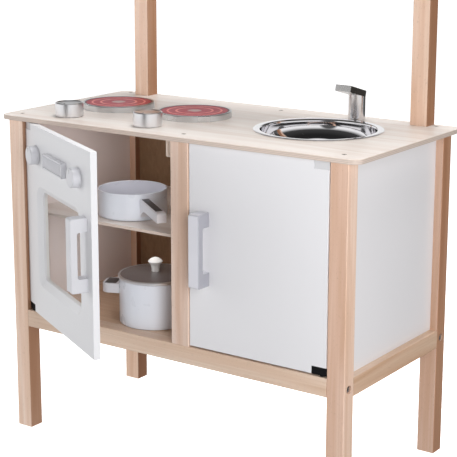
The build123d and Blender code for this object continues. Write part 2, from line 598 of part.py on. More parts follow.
def make_oven_door():
    x0, x1 = OVEN_DOOR_X0, OVEN_DOOR_X1
    middle = (x0 + x1) / 2
    knob_xs = {"left": middle - OVEN_KNOB_SPREAD, "right": middle + OVEN_KNOB_SPREAD}
    door = door_panel(x0, x1, x0)
    door -= window_layer(middle, 0, DOOR_RECESS, DOOR_BACK)
    wide = RectangleRounded(WINDOW_W + 2 * BEVEL_W, WINDOW_H + 2 * BEVEL_W, WINDOW_CORNER + BEVEL_W)
    narrow = RectangleRounded(WINDOW_W, WINDOW_H, WINDOW_CORNER)
    door -= loft([facing_front(middle, DOOR_RECESS, WINDOW_Z) * wide,
                  facing_front(middle, DOOR_RECESS + BEVEL_D, WINDOW_Z) * narrow])
    for knob_x in knob_xs.values():
        door -= bar_y(knob_x, CONTROLS_Z, DOOR_RECESS, DOOR_BACK, SPINDLE_R + SPINDLE_CLEARANCE)
    retainer_back = DOOR_BACK + RETAINER_T
    pane = window_layer(middle, PANE_LAP, retainer_back - PANE_T, retainer_back)
    retainer = window_layer(middle, RETAINER_W, DOOR_BACK, retainer_back)
    retainer -= window_layer(middle, 0, DOOR_BACK, retainer_back) + pane
    parts["oven_door"] = ajar(door)
    parts["oven_window_pane"] = ajar(pane)
    parts["oven_window_retainer"] = ajar(retainer)
    parts["oven_handle"] = ajar(bow_handle(x1 - HANDLE_INSET, DOOR_RECESS))
    clock = block(middle - CLOCK_W / 2, middle + CLOCK_W / 2, DOOR_RECESS - CLOCK_T, DOOR_RECESS,
                  CONTROLS_Z - CLOCK_H / 2, CONTROLS_Z + CLOCK_H / 2)
    parts["oven_clock"] = ajar(chamfer(clock.faces().sort_by(Axis.Y)[0].edges(), 1.5))
    parts["oven_hinge_top"] = ajar(hinge_block(OVEN_PIN_X, x0, True))
    parts["oven_hinge_bottom"] = ajar(hinge_block(OVEN_PIN_X, x0, False))
    parts["oven_strike"] = ajar(strike_plate(x1 - 2 - STRIKE_W, x1 - 2))
    for side, knob_x in knob_xs.items():
        oven_knob(knob_x, side)


def make_catches():
    parts["magnet_catches"] = Compound([
        magnet_catch(MID_LEFT - CATCH_W, MID_LEFT),
        magnet_catch(MID_RIGHT, MID_RIGHT + CATCH_W),
    ])


# ---------------------------------------------------------------- pan and pot
PAN_X = -151.5
PAN_Y = 104.0
PAN_R = 60.5
PAN_H = 47.0
PAN_WALL = 2.5
PAN_HANDLE_ANGLE = -32.0
PAN_HANDLE_W = 17.0
PAN_HANDLE_END = 145.0          # from the middle of the pan
PAN_HANDLE_T = 16.5
PAN_HANDLE_DROP = 7.0           # its top lies this far under the rim
PAN_HANDLE_FALL = 8.0           # from the pan to the far end
PAN_BRACKET_H = 31.0
POT_X = -87.5
POT_Y = 84.5
POT_R = 63.0
POT_H = 79.0
POT_HANDLE_ANGLE = 24.0
POT_HANDLE_W = 44.0
POT_HANDLE_REACH = 29.0
POT_HANDLE_T = 16.0
POT_HANDLE_DROP = 12.0
LID_R = 65.0
LID_RIM_H = 5.0
LID_RISE = 5.0
LID_PLUG = 4.0
LID_KNOB_R = 12.8
LID_KNOB_STEM_R = 7.0
LID_KNOB_H = 25.0
LID_KNOB_SEAT = 0.5             # how deep the knob sits in the lid


def open_vessel(radius, height, wall):
    """A straight-sided pan, open at the top, with a rounded foot and lip."""
    body = Pos(0, 0, height / 2) * Cylinder(radius, height)
    body = fillet(body.faces().sort_by(Axis.Z)[0].edges(), 3.0)
    hollow = Pos(0, 0, height / 2 + wall) * Cylinder(radius - wall, height)
    body -= fillet(hollow.faces().sort_by(Axis.Z)[0].edges(), 3.0)
    return fillet(body.faces().sort_by(Axis.Z)[-1].edges(), 0.8)


def make_pan():
    place = Pos(PAN_X, PAN_Y, OVEN_SHELF_Z + SHELF_T + REST_GAP)
    parts["pan"] = place * open_vessel(PAN_R, PAN_H, PAN_WALL)
    top = PAN_H - PAN_HANDLE_DROP
    end_top = top - PAN_HANDLE_FALL
    root = PAN_R - 6
    bend = PAN_R + PAN_HANDLE_T * 1.6
    bend_z = top - PAN_HANDLE_T - PAN_HANDLE_FALL / 3
    toe = (PAN_R + 5, top - PAN_BRACKET_H + 3)
    side = make_face(Curve() + [
        Polyline((root, top), (PAN_HANDLE_END, end_top), (PAN_HANDLE_END, end_top - PAN_HANDLE_T),
                 (bend, bend_z)),
        ThreePointArc((bend, bend_z), (PAN_R + 12, bend_z - 3), toe),
        Polyline(toe, (PAN_R + 5, top - PAN_BRACKET_H), (root, top - PAN_BRACKET_H), (root, top)),
    ])
    handle = extrude(Plane.XZ * side, amount=PAN_HANDLE_W / 2, both=True)
    handle -= Cylinder(PAN_R, PAN_H * 3)
    top_face = handle.faces().filter_by(lambda f: f.normal_at().Z > 0.9).sort_by(Axis.Z)[-1]
    handle = chamfer(top_face.edges().filter_by(GeomType.LINE), 1.5)
    parts["pan_handle"] = place * Rot(0, 0, PAN_HANDLE_ANGLE) * handle


def make_pot():
    place = Pos(POT_X, POT_Y, RAIL_TOP + REST_GAP)
    parts["pot"] = place * open_vessel(POT_R, POT_H, PAN_WALL)
    tabs = []
    for turn in (POT_HANDLE_ANGLE, POT_HANDLE_ANGLE + 180):
        length = POT_HANDLE_REACH + POT_R / 2
        z = POT_H - POT_HANDLE_DROP - POT_HANDLE_T / 2
        tab = Pos(POT_R + POT_HANDLE_REACH - length / 2, 0, z) * Box(length, POT_HANDLE_W, POT_HANDLE_T)
        outer = tab.edges().filter_by(Axis.Z).filter_by(lambda e: e.center().X > POT_R)
        tab = fillet(outer, 15.0)
        tab = chamfer(tab.faces().sort_by(Axis.Z)[-1].edges(), 1.0)
        tab -= Cylinder(POT_R, POT_H * 3)
        tabs.append(place * Rot(0, 0, turn) * tab)
    parts["pot_handles"] = Compound(tabs)
    lid_place = place * Pos(0, 0, POT_H + REST_GAP)
    rim = Pos(0, 0, LID_RIM_H / 2) * Cylinder(LID_R, LID_RIM_H)
    rim = fillet(rim.edges(), 1.8)
    dome_r = (LID_R ** 2 + LID_RISE ** 2) / (2 * LID_RISE)
    dome = Pos(0, 0, LID_RIM_H - 1 + LID_RISE - dome_r) * Sphere(dome_r)
    dome &= Pos(0, 0, LID_RIM_H + LID_RISE / 2 - 1) * Cylinder(LID_R - 2.5, LID_RISE)
    plug = Pos(0, 0, -LID_PLUG / 2) * Cylinder(POT_R - PAN_WALL - 0.6, LID_PLUG)
    seat_z = LID_RIM_H - 1 + LID_RISE - LID_KNOB_SEAT
    seat = post(0, 0, seat_z, seat_z + LID_RISE, LID_KNOB_STEM_R)
    parts["pot_lid"] = lid_place * (rim + dome + plug - seat)
    brim_z = LID_KNOB_H * 0.72
    outline = Polyline((0, 0), (LID_KNOB_STEM_R, 0), (LID_KNOB_STEM_R, LID_KNOB_H * 0.2),
                       (LID_KNOB_STEM_R + 1, LID_KNOB_H * 0.45), (LID_KNOB_R, brim_z), (0, brim_z), close=True)
    knob = revolve(Plane.XZ * make_face(outline), Axis.Z)
    crown_h = LID_KNOB_H - brim_z
    crown_r = (LID_KNOB_R ** 2 + crown_h ** 2) / (2 * crown_h)
    crown = Pos(0, 0, LID_KNOB_H - crown_r) * Sphere(crown_r)
    crown &= post(0, 0, brim_z, LID_KNOB_H + 1, LID_KNOB_R + 1)
    parts["pot_lid_knob"] = lid_place * Pos(0, 0, seat_z) * (knob + crown)


# ---------------------------------------------------------------- make everything
make_legs()
make_posts()
make_bolts()
make_rails()
make_panels()
make_boards()
make_worktop()
make_screws()
make_upper_part()
make_hotplates()
make_hob_knobs()
make_sink()
make_faucet()
make_cupboard_door()
make_oven_door()
make_catches()
make_pan()
make_pot()

boxes = [shape.bounding_box() for shape in parts.values()]
front = min(box.min.Y for box in boxes)
back = max(box.max.Y for box in boxes)
shift_y = -(front + back) / 2
for name, shape in parts.items():
    export_step(Pos(0, shift_y, 0) * shape, f"parts/{name}.step")

height = max(box.max.Z for box in boxes)
print(f"{len(parts)} nodes, {height:.1f} high, moved by {shift_y:.3f} along Y")
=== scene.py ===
import json
import math

import bmesh
import bpy
from mathutils import Matrix, Vector


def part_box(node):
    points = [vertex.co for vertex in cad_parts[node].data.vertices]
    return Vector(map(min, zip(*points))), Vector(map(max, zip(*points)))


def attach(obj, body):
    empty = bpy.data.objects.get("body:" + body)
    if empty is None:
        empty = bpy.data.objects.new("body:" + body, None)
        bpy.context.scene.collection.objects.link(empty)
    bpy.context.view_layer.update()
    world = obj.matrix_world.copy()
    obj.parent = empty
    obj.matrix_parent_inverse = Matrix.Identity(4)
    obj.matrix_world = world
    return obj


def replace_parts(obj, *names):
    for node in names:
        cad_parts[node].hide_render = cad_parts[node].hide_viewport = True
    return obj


# A wooden toy kitchen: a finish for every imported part, finer pieces in place of the plain knobs,
# clock and sink bowl, and the dark inlays in the handles of the pan and the pot.

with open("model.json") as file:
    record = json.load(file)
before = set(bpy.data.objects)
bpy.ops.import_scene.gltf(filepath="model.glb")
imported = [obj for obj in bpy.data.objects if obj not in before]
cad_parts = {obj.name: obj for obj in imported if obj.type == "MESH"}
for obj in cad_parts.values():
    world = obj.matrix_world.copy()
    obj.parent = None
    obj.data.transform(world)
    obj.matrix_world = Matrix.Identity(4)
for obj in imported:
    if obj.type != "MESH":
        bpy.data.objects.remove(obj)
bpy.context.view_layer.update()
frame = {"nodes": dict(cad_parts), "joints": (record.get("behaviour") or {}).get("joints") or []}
nodes = frame["nodes"]
joints = {joint["name"]: joint for joint in frame["joints"]}

AXES = "XYZ"
SIDES = ("left", "right")
TOUCHING = 1e-7             # metres: two places nearer than this are the same


# ---------------------------------------------------------------- places taken from the frame
def centre_of(node):
    low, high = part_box(node)
    return (low + high) / 2


def size_of(node):
    low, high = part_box(node)
    return high - low


def foot_of(node):
    """The middle of the bottom of a node's box."""
    low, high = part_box(node)
    return Vector(((low.x + high.x) / 2, (low.y + high.y) / 2, low.z))


def axis_of(node):
    """The point at height zero on the upright line through a node's centre."""
    foot = foot_of(node)
    return Vector((foot.x, foot.y, 0))


# The oven door rests ajar. DOOR_PLACE carries a point on the shut door to where it is at rest.
DOOR_HINGE = joints["oven_door_hinge"]
DOOR_AJAR = math.radians(-DOOR_HINGE["range_deg"][0])
DOOR_PIN = Vector(DOOR_HINGE["pos_m"])
DOOR_PLACE = (Matrix.Translation(DOOR_PIN) @ Matrix.Rotation(-DOOR_AJAR, 4, "Z")
              @ Matrix.Translation(-DOOR_PIN))


def closed_box(node):
    """The lowest and highest corners of a node on the oven door, with the door swung shut."""
    swing_shut = DOOR_PLACE.inverted()
    points = [swing_shut @ vertex.co for vertex in nodes[node].data.vertices]
    low = Vector((min(point[i] for point in points) for i in range(3)))
    high = Vector((max(point[i] for point in points) for i in range(3)))
    return low, high


# ---------------------------------------------------------------- shader building
class Shading:
    """A material being built around one Principled shader.

    The base roughness holds only where roughness() isn't called.
    """

    def __init__(self, name, metallic=0.0, coat=0.0, specular=0.5, alpha=1.0, base_roughness=0.5):
        self.material = bpy.data.materials.new(name)
        self.material.use_nodes = True
        self.tree = self.material.node_tree
        self.shader = self.tree.nodes["Principled BSDF"]
        settings = {"Metallic": metallic, "Coat Weight": coat, "Coat Roughness": 0.08,
                    "Specular IOR Level": specular, "Alpha": alpha, "Roughness": base_roughness}
        for key, value in settings.items():
            self.shader.inputs[key].default_value = value

    def node(self, kind, inputs=None, **settings):
        """A new node. An input's value may be a plain value or another node's output."""
        made = self.tree.nodes.new("ShaderNode" + kind)
        for key, value in settings.items():
            setattr(made, key, value)
        for key, value in (inputs or {}).items():
            if isinstance(value, bpy.types.NodeSocket):
                self.tree.links.new(value, made.inputs[key])
            else:
                made.inputs[key].default_value = value
        return made

    def place(self, stretch=(1, 1, 1), shift=(0, 0, 0)):
        """The point on the piece, in metres, stretched along the axes."""
        point = self.node("TexCoord").outputs["Object"]
        mapped = self.node("Mapping", {"Vector": point, "Scale": stretch, "Location": shift})
        return mapped.outputs["Vector"]

    def noise(self, vector, scale, detail, distortion=0.0):
        """A noise from 0 to 1. The scale is in cells per metre: 7 is a cloud, 1500 a fine grit."""
        made = self.node("TexNoise", {"Vector": vector, "Scale": scale, "Detail": detail,
                                      "Distortion": distortion})
        return made.outputs["Fac"]

    def ramp(self, factor, *stops):
        """Colours or grey levels along a factor: (position, value) pairs."""
        made = self.node("ValToRGB", {"Fac": factor})
        elements = made.color_ramp.elements
        while len(elements) < len(stops):
            elements.new(1.0)
        for element, (position, value) in zip(elements, stops):
            element.position = position
            element.color = (*value, 1) if isinstance(value, tuple) else (value, value, value, 1)
        return made.outputs["Color"]

    def mix(self, factor, first, second, how="MIX"):
        made = self.node("Mix", data_type="RGBA", blend_type=how)
        for key, value in (("Factor", factor), ("A", first), ("B", second)):
            socket = next(s for s in made.inputs if s.name == key and s.enabled)
            if isinstance(value, bpy.types.NodeSocket):
                self.tree.links.new(value, socket)
            else:
                socket.default_value = (*value, 1) if isinstance(value, tuple) else value
        return next(s for s in made.outputs if s.enabled)

    def maths(self, operation, first, second=0.0):
        made = self.node("Math", {0: first, 1: second}, operation=operation)
        return made.outputs["Value"]

    def radius_from(self, centre):
        """Distance from a vertical axis, in metres."""
        level = self.place((1, 1, 0), (-centre.x, -centre.y, 0))
        return self.node("VectorMath", {0: level}, operation="LENGTH").outputs["Value"]

    def facing(self, axis):
        """How far the surface faces along an axis of the piece, from -1 to 1."""
        normal = self.node("TexCoord").outputs["Normal"]
        return self.node("SeparateXYZ", {"Vector": normal}).outputs[axis]

    def sided(self, axis, elsewhere, turned, low=0.3, high=0.8):
        """Another colour on the faces turned either way along an axis."""
        across = self.maths("ABSOLUTE", self.facing(axis))
        return self.mix(self.ramp(across, (low, 0.0), (high, 1.0)), elsewhere, turned)

    def colour(self, value):
        self.tree.links.new(value, self.shader.inputs["Base Color"])

    def roughness(self, factor, first, last, low=0.3, high=0.7):
        """Roughness that goes from first to last while a factor rises from low to high."""
        graded = self.ramp(factor, (low, first), (high, last))
        self.tree.links.new(graded, self.shader.inputs["Roughness"])

    def metal(self, value):
        self.tree.links.new(value, self.shader.inputs["Metallic"])

    def relief(self, height, depth, strength):
        """A bump of some depth in metres."""
        made = self.node("Bump", {"Height": height, "Distance": depth, "Strength": strength})
        self.tree.links.new(made.outputs["Normal"], self.shader.inputs["Normal"])


def toned(colour, tone_and_light):
    return tuple(channel * part for channel, part in zip(colour, tone_and_light))


def dimmed(colour, share):
    return tuple(channel * share for channel in colour)


# ---------------------------------------------------------------- the kinds of material
BEECH = dict(dark=(0.78, 0.54, 0.40), middle=(0.88, 0.66, 0.54), light=(0.92, 0.73, 0.62))
BIRCH = dict(dark=(0.80, 0.70, 0.63), middle=(0.87, 0.79, 0.735), light=(0.90, 0.84, 0.79))
BROWN_BIRCH = dict(dark=(0.62, 0.40, 0.26), middle=(0.74, 0.51, 0.35), light=(0.80, 0.60, 0.45))
PLY_EDGE = (0.76, 0.63, 0.55)
PLY_SCALE = 130.0           # a light and a dark ply every 2.4 mm
PLY_SHADE = 0.72            # brightness of the darker plies
FLECK_SHADE = 0.62          # brightness of the flecks
SEED_SHIFT = (0.37, 0.61, 0.83)


def wood(name, along, seed, dark, middle, light, tone_and_light=(1, 1, 1), side_light_and_shade=None, flecks=0.35,
         lining=0.38, roughness=0.42, edge=None):
    """Planed wood: broad bands, growth lines, fine pores and short darker flecks along the grain.

    The tone multiplies all of it, and on the uprights it also holds painted light and shade for how
    brightly each is lit;
    the side tone multiplies the faces turned to X once more, as painted light and shade on those faces.
    Lining and flecks say how strongly the growth lines and the flecks show. An edge colour is for
    a board glued up from plies, which show on its upright faces.
    """
    made = Shading(name, coat=0.12)
    dark, middle, light = (toned(colour, tone_and_light) for colour in (dark, middle, light))
    shift = dimmed(SEED_SHIFT, seed)

    def grain(share_along, **settings):
        """Noise with only a share of its scale left along the grain, so that it is drawn out."""
        stretch = tuple(share_along if axis == along else 1 for axis in AXES)
        return made.noise(made.place(stretch, shift), **settings)

    bands = grain(0.05, scale=48, detail=2, distortion=0.6)
    lines = grain(0.018, scale=310, detail=3, distortion=0.4)
    pores = grain(0.06, scale=1500, detail=2)
    ticks = grain(0.22, scale=900, detail=1)
    base = made.ramp(bands, (0.34, dark), (0.50, middle), (0.66, light))
    lined = made.mix(made.ramp(lines, (0.42, lining), (0.58, 0.0)), base, dark)
    shown = made.mix(made.ramp(ticks, (0.66, 0.0), (0.74, flecks)), lined, dimmed(dark, FLECK_SHADE))
    # Painted light and shade on the faces turned to X.
    if side_light_and_shade is not None:
        shown = made.sided("X", shown, made.mix(1.0, shown, side_light_and_shade, "MULTIPLY"))
    if edge is not None:
        height = made.place((0, 0, 1))
        plies = made.node("TexWave", {"Vector": height, "Scale": PLY_SCALE, "Distortion": 0.6},
                          bands_direction="Z").outputs["Fac"]
        layered = made.mix(plies, edge, dimmed(edge, PLY_SHADE))
        shown = made.sided("Z", layered, shown, low=0.45, high=0.75)
    made.colour(shown)
    made.roughness(pores, roughness + 0.12, roughness - 0.05, low=0.35, high=0.65)
    made.relief(made.mix(0.5, lines, pores), depth=0.00012, strength=0.55)
    return made.material


def lacquer(name, tint, inside_shade=None, inside_sign=1):
    """White sprayed lacquer with a faint orange peel.

    An inside tint paints shade on the face turned to +X or -X, as the inside sign says: a darker, warmer
    white for the shade inside the cabinet.
    """
    made = Shading(name, coat=0.15)
    cloud = made.noise(made.place(), scale=7, detail=2)
    shown = made.mix(cloud, tint, dimmed(tint, 0.97))
    # Painted shade on the inner face.
    if inside_shade is not None:
        inwards = made.maths("MULTIPLY", made.facing("X"), inside_sign)
        shown = made.mix(made.ramp(inwards, (0.5, 0.0), (0.6, 1.0)), shown, inside_shade)
    made.colour(shown)
    made.roughness(made.noise(made.place(), scale=60, detail=2), 0.34, 0.44)
    made.relief(made.noise(made.place(), scale=150, detail=1), depth=0.00008, strength=0.10)
    return made.material


def hardboard(name):
    """Brown pressed fibre with a smooth face."""
    made = Shading(name, base_roughness=0.55)
    dark, light, clouded = (0.26, 0.155, 0.085), (0.40, 0.255, 0.15), (0.33, 0.20, 0.11)
    fibres = made.noise(made.place((1, 1, 0.35)), scale=160, detail=5, distortion=0.8)
    clouds = made.noise(made.place(), scale=11, detail=3)
    made.colour(made.mix(clouds, made.ramp(fibres, (0.3, dark), (0.7, light)), clouded))
    made.relief(fibres, depth=0.0002, strength=0.4)
    return made.material


def satin(name, tint, roughness, metallic=0.0, coat=0.2, specular=0.5, fleck=0.04, painted_side_tint=None):
    """Moulded plastic, pearl paint or plated metal: a fine grit and a slightly uneven sheen.

    The fleck is how much darker the grit can be. A side tint paints the faces turned to X darker: painted
    shade on the cupboard's handle, a painted dark reflection on the tap's spout.
    """
    made = Shading(name, metallic=metallic, coat=coat, specular=specular)
    grit = made.noise(made.place(), scale=1500, detail=2)
    cloud = made.noise(made.place(), scale=35, detail=3)
    shown = made.mix(made.mix(0.5, grit, cloud), tint, dimmed(tint, 1 - fleck))
    # Painted shade and painted reflection on the faces turned to X.
    if painted_side_tint is not None:
        shown = made.sided("X", shown, painted_side_tint)
    made.colour(shown)
    made.roughness(cloud, roughness - 0.05, roughness + 0.07)
    made.relief(grit, depth=0.00003, strength=0.2)
    return made.material


def turned_metal(name, centre, tint, roughness):
    """Metal turned or polished round an upright axis: very fine rings in its sheen."""
    made = Shading(name, metallic=1.0)
    outwards = made.node("CombineXYZ", {"X": made.radius_from(centre)}).outputs["Vector"]
    rings = made.noise(outwards, scale=2600, detail=2)
    smears = made.noise(made.place(), scale=24, detail=2)
    made.colour(made.mix(smears, tint, dimmed(tint, 0.95)))
    made.roughness(smears, roughness, roughness * 1.3 + 0.01)
    made.relief(rings, depth=0.00001, strength=0.15)
    return made.material


def hotplate_print(name, centre, radius):
    """A red disc with two thin light rings, a grey middle and a dark rim, under clear plastic."""
    made = Shading(name, specular=0.12)
    red, deep_red, salmon = (0.40, 0.012, 0.036), (0.47, 0.030, 0.055), (0.80, 0.24, 0.20)
    grey, dark = (0.50, 0.36, 0.34), (0.10, 0.035, 0.045)
    ring_fade = 0.025
    rings = ((0.50, 0.54), (0.76, 0.79))          # where each starts and ends, as shares of the radius
    stops = [(0.0, grey), (0.17, grey), (0.22, red)]
    for start, end in rings:
        stops += [(start - ring_fade, red), (start, salmon), (end, salmon), (end + ring_fade, red)]
    stops += [(0.93, red), (0.965, dark), (1.0, dark)]
    share = made.maths("DIVIDE", made.radius_from(centre), radius)
    mottle = made.noise(made.place(), scale=130, detail=3)
    mottling = made.ramp(mottle, (0.40, 0.0), (0.80, 0.22))
    made.colour(made.mix(mottling, made.ramp(share, *stops), deep_red))
    made.roughness(mottle, 0.28, 0.38)
    made.relief(share, depth=0.0002, strength=0.1)
    return made.material


def enamel(name, centre, inner_radius, rim_z, outside, inside):
    """Enamel, with a cooler grey coat inside the vessel."""
    made = Shading(name, coat=0.5)
    height = made.node("SeparateXYZ", {"Vector": made.place()}).outputs["Z"]
    within = made.maths("MULTIPLY", made.maths("LESS_THAN", made.radius_from(centre), inner_radius),
                        made.maths("LESS_THAN", height, rim_z))
    cloud = made.noise(made.place(), scale=40, detail=2)
    clouded = made.mix(cloud, outside, dimmed(outside, 0.98))
    made.colour(made.mix(within, clouded, inside))
    made.roughness(cloud, 0.27, 0.30)
    made.relief(made.noise(made.place(), scale=90, detail=1), depth=0.00008, strength=0.08)
    return made.material


def lid_coat(name, centre, rim_radius):
    """Dark enamel inside a bright rolled rim."""
    made = Shading(name, coat=0.2)
    dark, less_dark, bright = (0.20, 0.175, 0.175), (0.23, 0.205, 0.205), (0.80, 0.80, 0.82)
    on_rim = made.maths("GREATER_THAN", made.radius_from(centre), rim_radius)
    cloud = made.noise(made.place(), scale=60, detail=2)
    made.colour(made.mix(on_rim, made.mix(cloud, dark, less_dark), bright))
    made.metal(made.ramp(on_rim, (0.0, 0.45), (1.0, 0.85)))
    made.roughness(cloud, 0.30, 0.38)
    made.relief(cloud, depth=0.00002, strength=0.1)
    return made.material


def clear_sheet(name):
    """Thin clear plastic with faint wipe marks."""
    made = Shading(name, coat=0.2, alpha=0.10)
    wipes = made.noise(made.place((1, 1, 0.3)), scale=30, detail=4)
    made.colour(made.mix(wipes, (0.86, 0.90, 0.91), (0.78, 0.83, 0.84)))
    made.roughness(wipes, 0.04, 0.12)
    return made.material


# ---------------------------------------------------------------- materials on the CAD nodes
def dress(node, material):
    mesh = nodes[node].data
    mesh.materials.clear()
    mesh.materials.append(material)


# For each upright, the tone of its beech, which also holds painted light and shade for how brightly the
# upright is lit, and the painted light and shade on its faces turned to X (shade below one, light above);
# the shared side colour below is painted shade.
SIDE_IN_SHADE = (0.56, 0.43, 0.34)
UPRIGHTS = {
    "leg_front_left": ((1.07, 1.06, 1.05), (0.52, 0.40, 0.32)),
    "leg_front_right": ((0.81, 0.73, 0.68), (1.28, 1.38, 1.45)),
    "leg_rear_left": ((1.0, 0.94, 0.88), (0.36, 0.24, 0.165)),
    "leg_rear_right": ((0.72, 0.64, 0.59), (0.80, 0.62, 0.48)),
    "middle_post": ((0.87, 0.86, 0.86), (1.25, 1.28, 1.28)),
    "rear_middle_post": ((0.70, 0.58, 0.44), SIDE_IN_SHADE),
    "upper_post_left": ((1.08, 1.04, 1.0), SIDE_IN_SHADE),
    "upper_post_right": ((0.91, 0.84, 0.78), (0.49, 0.34, 0.24)),
}
LENGTHWAYS = ["rail_front", "rail_rear", "upper_crossrail"]
CROSSWAYS = ["rail_left", "rail_right", "cleats"]
RAIL_TONE = (0.86, 0.85, 0.80)
# Painted shade on the faces of the crossways rails turned to X.
CROSS_RAIL_SIDE_SHADE = (0.96, 0.88, 0.80)
BOARDS = {
    "worktop": dict(flecks=0.06, lining=0.16, roughness=0.36, edge=PLY_EDGE, **BIRCH),
    "upper_shelf": dict(flecks=0.10, edge=PLY_EDGE, **BIRCH),
    "oven_shelf": dict(flecks=0.10, edge=PLY_EDGE, **BIRCH),
    "bottom_board": dict(flecks=0.2, **BROWN_BIRCH),
}
FIRST_BOARD_SEED = 20

for seed, (name, (tone_and_light, side_light_and_shade)) in enumerate(UPRIGHTS.items()):
    dress(name, wood(f"beech_{name}", "Z", seed, tone_and_light=tone_and_light, side_light_and_shade=side_light_and_shade, **BEECH))
for seed, name in enumerate(LENGTHWAYS, len(UPRIGHTS)):
    dress(name, wood(f"beech_{name}", "X", seed, tone_and_light=RAIL_TONE, **BEECH))
for seed, name in enumerate(CROSSWAYS, len(UPRIGHTS) + len(LENGTHWAYS)):
    dress(name, wood(f"beech_{name}", "Y", seed, tone_and_light=RAIL_TONE, side_light_and_shade=CROSS_RAIL_SIDE_SHADE, **BEECH))
for seed, (name, finish) in enumerate(BOARDS.items(), FIRST_BOARD_SEED):
    dress(name, wood(f"birch_{name}", "X", seed, **finish))

# Both doors share one white lacquer; the oven door's brighter white and the cupboard door's darker one
# are painted light and shade.
DOOR_WHITES_LIT_AND_SHADED = {"oven_door": (0.88, 0.88, 0.905), "cupboard_door": (0.82, 0.815, 0.84)}
PANEL_WHITE = (0.90, 0.885, 0.905)
# A darker, warmer white painted on the panels' inner faces as the shade inside the cabinet.
PANEL_INSIDE_SHADE = (0.86, 0.75, 0.72)
INWARDS = {"left": 1, "right": -1}
for name, tint in DOOR_WHITES_LIT_AND_SHADED.items():
    dress(name, lacquer(f"{name}_lacquer", tint))
for side in SIDES:
    dress(f"panel_{side}", lacquer(f"panel_{side}_lacquer", PANEL_WHITE, PANEL_INSIDE_SHADE, INWARDS[side]))
for name in ("panel_back", "divider"):
    dress(name, hardboard(f"hardboard_{name}"))

pearl = satin("pearl_silver", (0.77, 0.77, 0.81), roughness=0.34, metallic=0.25, coat=0.25)
# The cupboard handle's faces turned to X are painted darker, as painted shade.
pearl_handle_side_shade = satin("pearl_handle_side_shade", (0.80, 0.80, 0.86), roughness=0.34, metallic=0.25, coat=0.25,
                     painted_side_tint=(0.46, 0.46, 0.51))
moulded_grey = satin("moulded_grey", (0.42, 0.42, 0.43), roughness=0.42)
moulded_white = satin("moulded_white", (0.86, 0.85, 0.83), roughness=0.38)
# Near-black with almost no sheen, on the bottom hinges: painted shade at the foot of the doors.
black_painted_shade = satin("black_painted_shade", (0.008, 0.008, 0.009), roughness=0.60, coat=0.0, specular=0.08)
inlay_dark = satin("inlay_dark", (0.060, 0.056, 0.058), roughness=0.38, coat=0.1, fleck=0.2)
hinge_grey = satin("hinge_grey", (0.66, 0.66, 0.68), roughness=0.40)
catch_cream = satin("catch_cream", (0.80, 0.68, 0.58), roughness=0.42)
zinc = satin("zinc_plate", (0.60, 0.60, 0.62), roughness=0.30, metallic=1.0, coat=0.0, fleck=0.15)
tap_silver = satin("tap_silver", (0.80, 0.79, 0.80), roughness=0.20, metallic=1.0, coat=0.0)
# The spout's faces turned to X are painted dark, as a painted reflection of something dark beside it.
tap_spout_painted_reflection = satin("tap_spout_painted_reflection", (0.94, 0.93, 0.92), roughness=0.26, metallic=0.9, coat=0.0,
                  painted_side_tint=(0.23, 0.21, 0.19))

FINISHES = {
    "oven_handle": pearl, "cupboard_handle": pearl_handle_side_shade, "pot_handles": pearl, "pan_handle": pearl,
    "oven_hinge_top": hinge_grey, "cupboard_hinge_top": hinge_grey,
    "oven_hinge_bottom": black_painted_shade, "cupboard_hinge_bottom": black_painted_shade,
    "oven_window_retainer": moulded_white, "magnet_catches": catch_cream, "pot_lid_knob": moulded_white,
    "frame_bolts": zinc, "worktop_screws": zinc, "oven_strike": zinc, "cupboard_strike": zinc,
    "utensil_bar": zinc, "hob_spindle_left": zinc, "hob_spindle_right": zinc,
    "oven_spindle_left": zinc, "oven_spindle_right": zinc,
    "faucet_column": tap_silver, "faucet_spout": tap_spout_painted_reflection,
}
for name, material in FINISHES.items():
    dress(name, material)
dress("oven_window_pane", clear_sheet("clear_acrylic"))

HOTPLATE_RIM = (0.74, 0.75, 0.76)
for side in SIDES:
    top = f"hotplate_{side}_top"
    dress(top, hotplate_print(f"hotplate_print_{side}", centre_of(top), size_of(top).x / 2))
    base = f"hotplate_{side}_base"
    dress(base, turned_metal(f"hotplate_rim_{side}", centre_of(base), HOTPLATE_RIM, roughness=0.26))

ENAMEL_OUTSIDE = (0.78, 0.815, 0.89)
ENAMEL_INSIDE = (0.70, 0.71, 0.78)
ENAMEL_OVER_RIM = 0.0020        # how far the outside coat reaches in over the rim,
RIM_DEPTH = 0.0006              # and down its inner side
LID_RIM_WIDTH = 0.0042
for vessel in ("pan", "pot"):
    inner_radius = size_of(vessel).x / 2 - ENAMEL_OVER_RIM
    rim_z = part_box(vessel)[1].z - RIM_DEPTH
    dress(vessel, enamel(f"{vessel}_enamel", centre_of(vessel), inner_radius, rim_z,
                         ENAMEL_OUTSIDE, ENAMEL_INSIDE))
dress("pot_lid", lid_coat("lid_enamel", centre_of("pot_lid"), size_of("pot_lid").x / 2 - LID_RIM_WIDTH))


# ---------------------------------------------------------------- shapes for the detail pieces
def piece(name, mesh_source, body, material, smooth_angle=35.0):
    """Turns a bmesh into a piece that rides on a body."""
    mesh = bpy.data.meshes.new(name)
    bmesh.ops.recalc_face_normals(mesh_source, faces=mesh_source.faces)
    mesh_source.to_mesh(mesh)
    mesh_source.free()
    made = bpy.data.objects.new(name, mesh)
    bpy.context.scene.collection.objects.link(made)
    mesh.materials.append(material)
    mesh.shade_smooth()
    mesh.set_sharp_from_angle(angle=math.radians(smooth_angle))
    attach(made, body)
    return made


